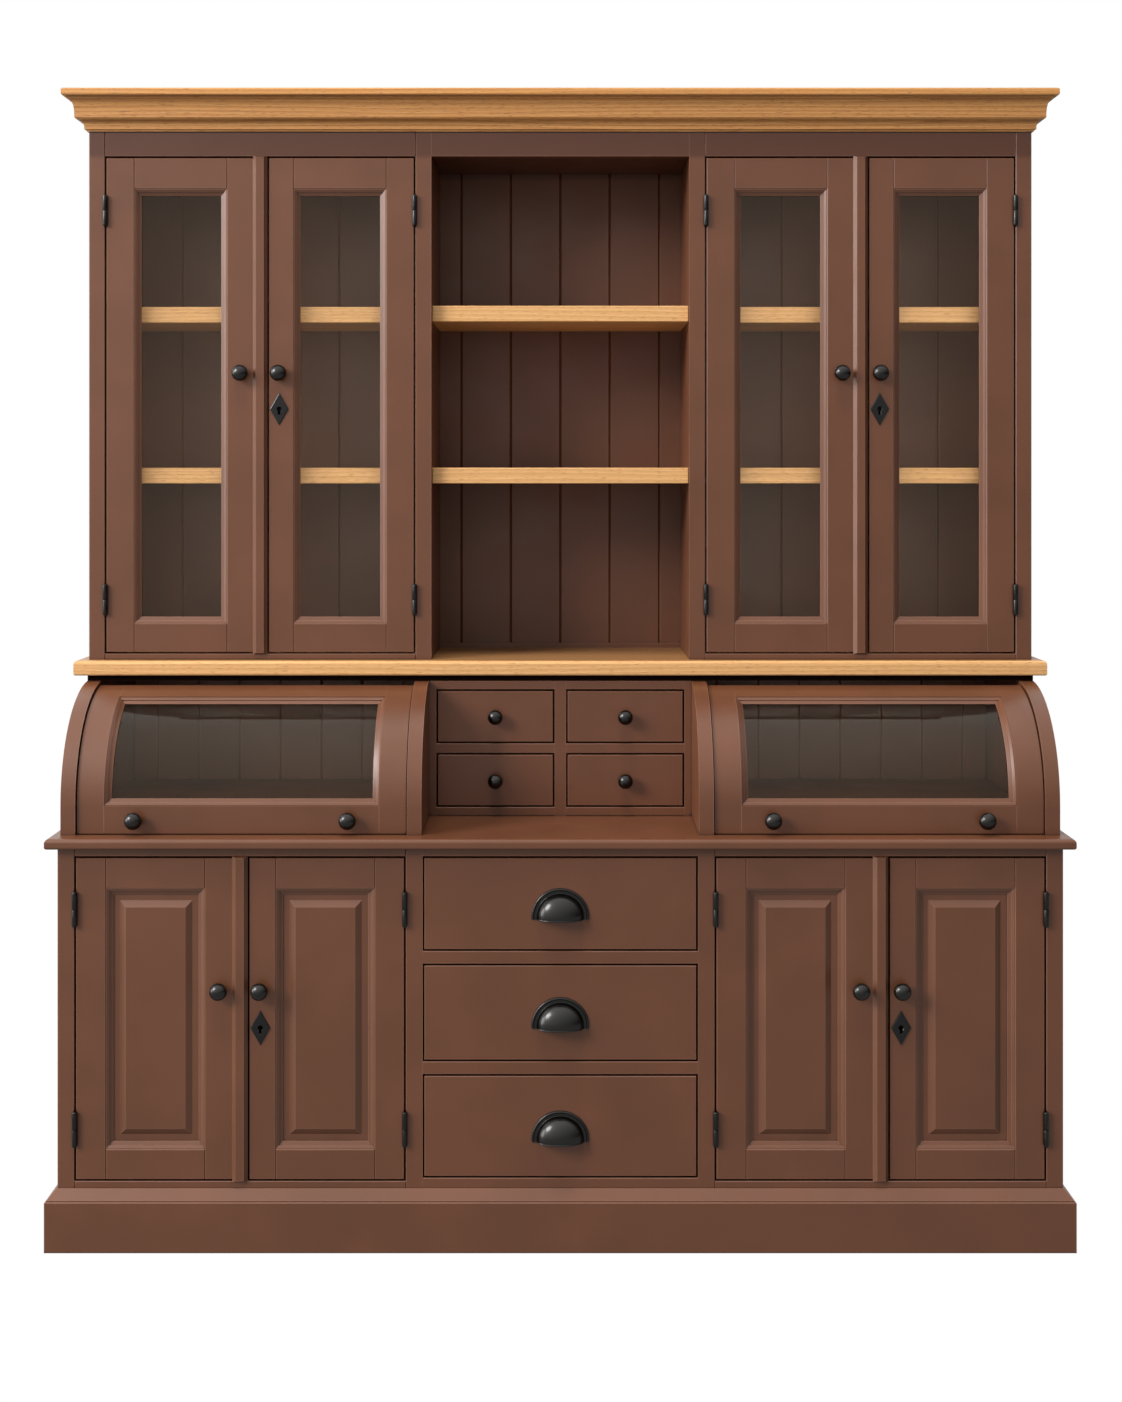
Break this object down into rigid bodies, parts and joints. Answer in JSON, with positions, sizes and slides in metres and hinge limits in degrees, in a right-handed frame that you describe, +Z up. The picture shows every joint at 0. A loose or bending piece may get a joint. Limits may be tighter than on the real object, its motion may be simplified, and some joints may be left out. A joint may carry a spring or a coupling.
{
  "type": "dresser with hutch",
  "caption": "Painted dresser with panelled cupboards, drawers, curved glazed roll-top flaps, a glazed hutch with open niche, oak worktop, shelves and cornice.",
  "frame": {"origin": "on the floor under the middle of the dresser's outline, knobs included", "axes": "+X to the right along the front, +Y to the back, +Z up"},
  "size_m": [1.99, 0.55, 2.234],
  "materials": {
    "brown_paint": "matt red-brown paint",
    "oak": "oiled oak",
    "black_iron": "satin black",
    "clear_glass": "clear"
  },
  "bodies": {
    "carcass": {"plinth": "brown_paint", "base_uprights": "brown_paint", "base_floor_and_shelves": "brown_paint", "base_face_frame": "brown_paint", "base_top_board": "brown_paint", "lower_back_boards": "brown_paint", "drawer_runners": "oak", "roll_top_side_panels": "brown_paint", "small_drawer_case": "brown_paint", "oak_worktop": "oak", "hutch_uprights": "brown_paint", "hutch_face_frame": "brown_paint", "hutch_shelves": "oak", "hutch_back_boards": "brown_paint", "oak_cornice": "oak", "hinge_frame_halves": "black_iron"},
    "left_outer_hutch_door": {"left_outer_hutch_door_frame": "brown_paint", "left_outer_hutch_door_glass": "clear_glass", "left_outer_hutch_door_ironmongery": "black_iron"},
    "left_inner_hutch_door": {"left_inner_hutch_door_frame": "brown_paint", "left_inner_hutch_door_glass": "clear_glass", "left_inner_hutch_door_ironmongery": "black_iron"},
    "left_inner_hutch_door_lock_bolt": {"left_inner_hutch_door_lock_bolt": "black_iron"},
    "right_inner_hutch_door": {"right_inner_hutch_door_frame": "brown_paint", "right_inner_hutch_door_glass": "clear_glass", "right_inner_hutch_door_ironmongery": "black_iron"},
    "right_outer_hutch_door": {"right_outer_hutch_door_frame": "brown_paint", "right_outer_hutch_door_glass": "clear_glass", "right_outer_hutch_door_ironmongery": "black_iron"},
    "right_outer_hutch_door_lock_bolt": {"right_outer_hutch_door_lock_bolt": "black_iron"},
    "left_outer_base_door": {"left_outer_base_door_panelling": "brown_paint", "left_outer_base_door_ironmongery": "black_iron"},
    "left_inner_base_door": {"left_inner_base_door_panelling": "brown_paint", "left_inner_base_door_ironmongery": "black_iron"},
    "left_inner_base_door_lock_bolt": {"left_inner_base_door_lock_bolt": "black_iron"},
    "right_inner_base_door": {"right_inner_base_door_panelling": "brown_paint", "right_inner_base_door_ironmongery": "black_iron"},
    "right_outer_base_door": {"right_outer_base_door_panelling": "brown_paint", "right_outer_base_door_ironmongery": "black_iron"},
    "right_outer_base_door_lock_bolt": {"right_outer_base_door_lock_bolt": "black_iron"},
    "left_flap": {"left_flap_frame": "brown_paint", "left_flap_glass": "clear_glass", "left_flap_knobs": "black_iron"},
    "right_flap": {"right_flap_frame": "brown_paint", "right_flap_glass": "clear_glass", "right_flap_knobs": "black_iron"},
    "lower_left_small_drawer": {"lower_left_small_drawer": "brown_paint", "lower_left_small_drawer_knob": "black_iron"},
    "lower_right_small_drawer": {"lower_right_small_drawer": "brown_paint", "lower_right_small_drawer_knob": "black_iron"},
    "upper_left_small_drawer": {"upper_left_small_drawer": "brown_paint", "upper_left_small_drawer_knob": "black_iron"},
    "upper_right_small_drawer": {"upper_right_small_drawer": "brown_paint", "upper_right_small_drawer_knob": "black_iron"},
    "bottom_large_drawer": {"bottom_large_drawer": "brown_paint", "bottom_large_drawer_cup_pull": "black_iron"},
    "middle_large_drawer": {"middle_large_drawer": "brown_paint", "middle_large_drawer_cup_pull": "black_iron"},
    "top_large_drawer": {"top_large_drawer": "brown_paint", "top_large_drawer_cup_pull": "black_iron"}
  },
  "joints": [
    {"name": "left_outer_hutch_door_swing", "type": "hinge", "parent": "carcass", "child": "left_outer_hutch_door", "pos_m": [-0.9165, -0.01505, 1.105], "axis": [0, 0, -1], "range_deg": [0, 110]},
    {"name": "left_inner_hutch_door_swing", "type": "hinge", "parent": "carcass", "child": "left_inner_hutch_door", "pos_m": [-0.2935, -0.01505, 1.105], "axis": [0, 0, 1], "range_deg": [0, 90]},
    {"name": "left_inner_hutch_door_lock_bolt_throw", "type": "slide", "parent": "left_inner_hutch_door", "child": "left_inner_hutch_door_lock_bolt", "axis": [-1, 0, 0], "range_m": [0, 0.018]},
    {"name": "right_inner_hutch_door_swing", "type": "hinge", "parent": "carcass", "child": "right_inner_hutch_door", "pos_m": [0.2935, -0.01505, 1.105], "axis": [0, 0, -1], "range_deg": [0, 90]},
    {"name": "right_outer_hutch_door_swing", "type": "hinge", "parent": "carcass", "child": "right_outer_hutch_door", "pos_m": [0.9165, -0.01505, 1.105], "axis": [0, 0, 1], "range_deg": [0, 110]},
    {"name": "right_outer_hutch_door_lock_bolt_throw", "type": "slide", "parent": "right_outer_hutch_door", "child": "right_outer_hutch_door_lock_bolt", "axis": [-1, 0, 0], "range_m": [0, 0.018]},
    {"name": "left_outer_base_door_swing", "type": "hinge", "parent": "carcass", "child": "left_outer_base_door", "pos_m": [-0.9165, -0.25005, 0.131], "axis": [0, 0, -1], "range_deg": [0, 110]},
    {"name": "left_inner_base_door_swing", "type": "hinge", "parent": "carcass", "child": "left_inner_base_door", "pos_m": [-0.2935, -0.25005, 0.131], "axis": [0, 0, 1], "range_deg": [0, 90]},
    {"name": "left_inner_base_door_lock_bolt_throw", "type": "slide", "parent": "left_inner_base_door", "child": "left_inner_base_door_lock_bolt", "axis": [-1, 0, 0], "range_m": [0, 0.018]},
    {"name": "right_inner_base_door_swing", "type": "hinge", "parent": "carcass", "child": "right_inner_base_door", "pos_m": [0.2935, -0.25005, 0.131], "axis": [0, 0, -1], "range_deg": [0, 90]},
    {"name": "right_outer_base_door_swing", "type": "hinge", "parent": "carcass", "child": "right_outer_base_door", "pos_m": [0.9165, -0.25005, 0.131], "axis": [0, 0, 1], "range_deg": [0, 110]},
    {"name": "right_outer_base_door_lock_bolt_throw", "type": "slide", "parent": "right_outer_base_door", "child": "right_outer_base_door_lock_bolt", "axis": [-1, 0, 0], "range_m": [0, 0.018]},
    {"name": "left_flap_roll", "type": "hinge", "parent": "carcass", "child": "left_flap", "pos_m": [-0.605, -0.007, 0.832], "axis": [-1, 0, 0], "range_deg": [0, 80]},
    {"name": "right_flap_roll", "type": "hinge", "parent": "carcass", "child": "right_flap", "pos_m": [0.605, -0.007, 0.832], "axis": [-1, 0, 0], "range_deg": [0, 80]},
    {"name": "lower_left_small_drawer_slide", "type": "slide", "parent": "carcass", "child": "lower_left_small_drawer", "axis": [0, -1, 0], "range_m": [0, 0.18]},
    {"name": "lower_right_small_drawer_slide", "type": "slide", "parent": "carcass", "child": "lower_right_small_drawer", "axis": [0, -1, 0], "range_m": [0, 0.18]},
    {"name": "upper_left_small_drawer_slide", "type": "slide", "parent": "carcass", "child": "upper_left_small_drawer", "axis": [0, -1, 0], "range_m": [0, 0.18]},
    {"name": "upper_right_small_drawer_slide", "type": "slide", "parent": "carcass", "child": "upper_right_small_drawer", "axis": [0, -1, 0], "range_m": [0, 0.18]},
    {"name": "bottom_large_drawer_slide", "type": "slide", "parent": "carcass", "child": "bottom_large_drawer", "axis": [0, -1, 0], "range_m": [0, 0.33]},
    {"name": "middle_large_drawer_slide", "type": "slide", "parent": "carcass", "child": "middle_large_drawer", "axis": [0, -1, 0], "range_m": [0, 0.33]},
    {"name": "top_large_drawer_slide", "type": "slide", "parent": "carcass", "child": "top_large_drawer", "axis": [0, -1, 0], "range_m": [0, 0.33]}
  ]
}
